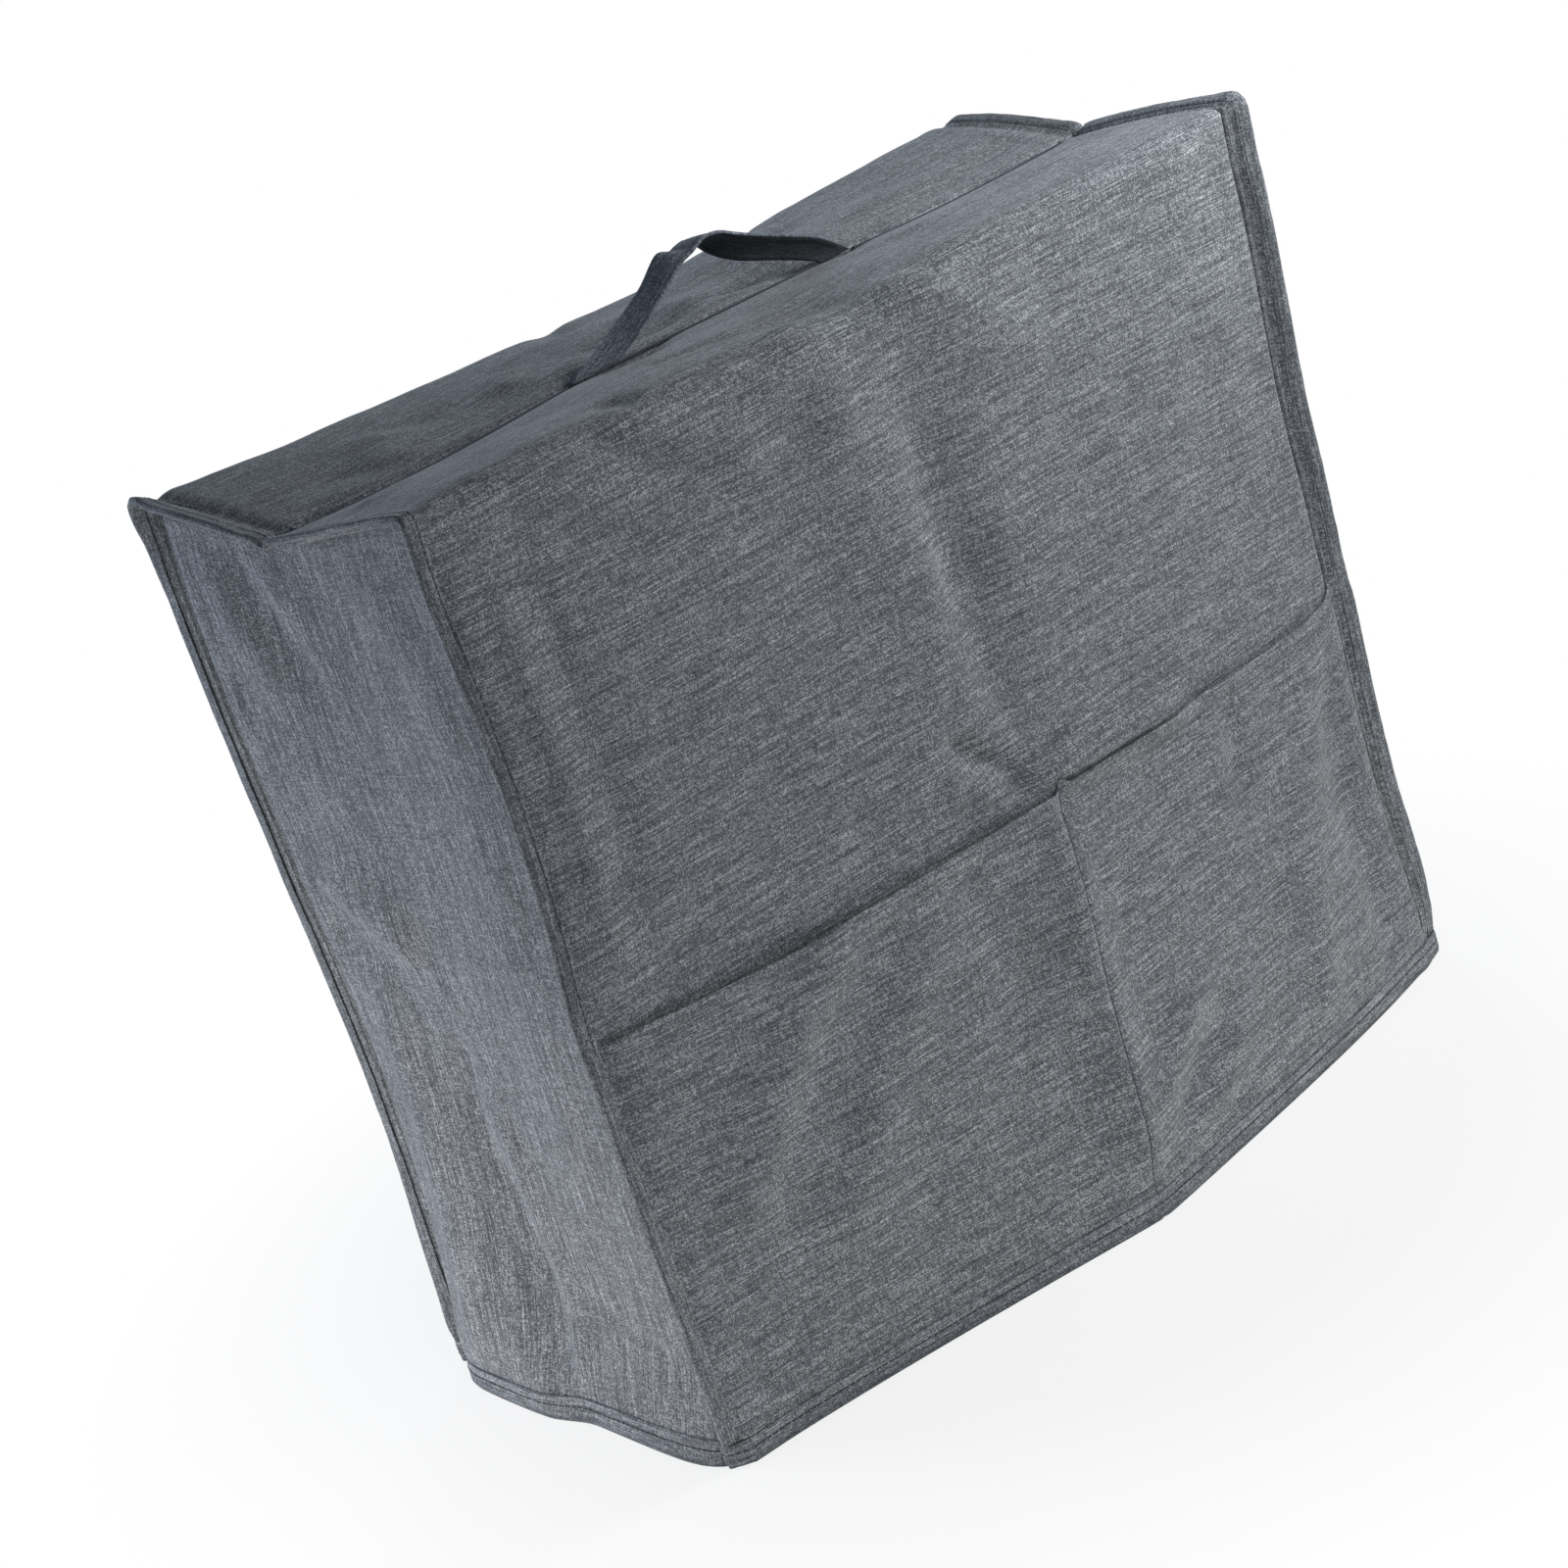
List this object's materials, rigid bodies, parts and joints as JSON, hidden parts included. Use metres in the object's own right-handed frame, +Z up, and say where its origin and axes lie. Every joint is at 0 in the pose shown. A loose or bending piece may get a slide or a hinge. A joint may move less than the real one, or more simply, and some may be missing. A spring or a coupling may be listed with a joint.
{
  "type": "fabric storage cover with carry handle and front pockets",
  "caption": "Box-shaped slip-over bag of grey melange cloth, open underneath, with bound seams, two open front pockets and a carry strap along the top",
  "frame": {"origin": "on the floor under the middle of the body", "axes": "+X to the right along the width as seen from the front, -Y out of the pocketed front, +Z up out of the closed top"},
  "size_m": [0.5262, 0.2933, 0.4759],
  "materials": {
    "cloth": "matte melange woven polyester cloth",
    "binding": "matte folded binding tape of the same cloth",
    "strap": "matte stitched self-fabric strap"
  },
  "bodies": {
    "body": {"front_panel": "cloth", "back_panel": "cloth", "left_side_panel": "cloth", "right_side_panel": "cloth", "pocket_panel": "cloth", "left_seam_binding": "binding", "right_seam_binding": "binding", "hem_binding": "binding", "left_strap_end": "strap", "right_strap_end": "strap"},
    "handle": {"handle_strap": "strap"}
  },
  "joints": [
    {"name": "handle_swing", "type": "hinge", "parent": "body", "child": "handle", "pos_m": [0, 0, 0.4406], "axis": [1, 0, 0], "range_deg": [-60, 60]}
  ]
}
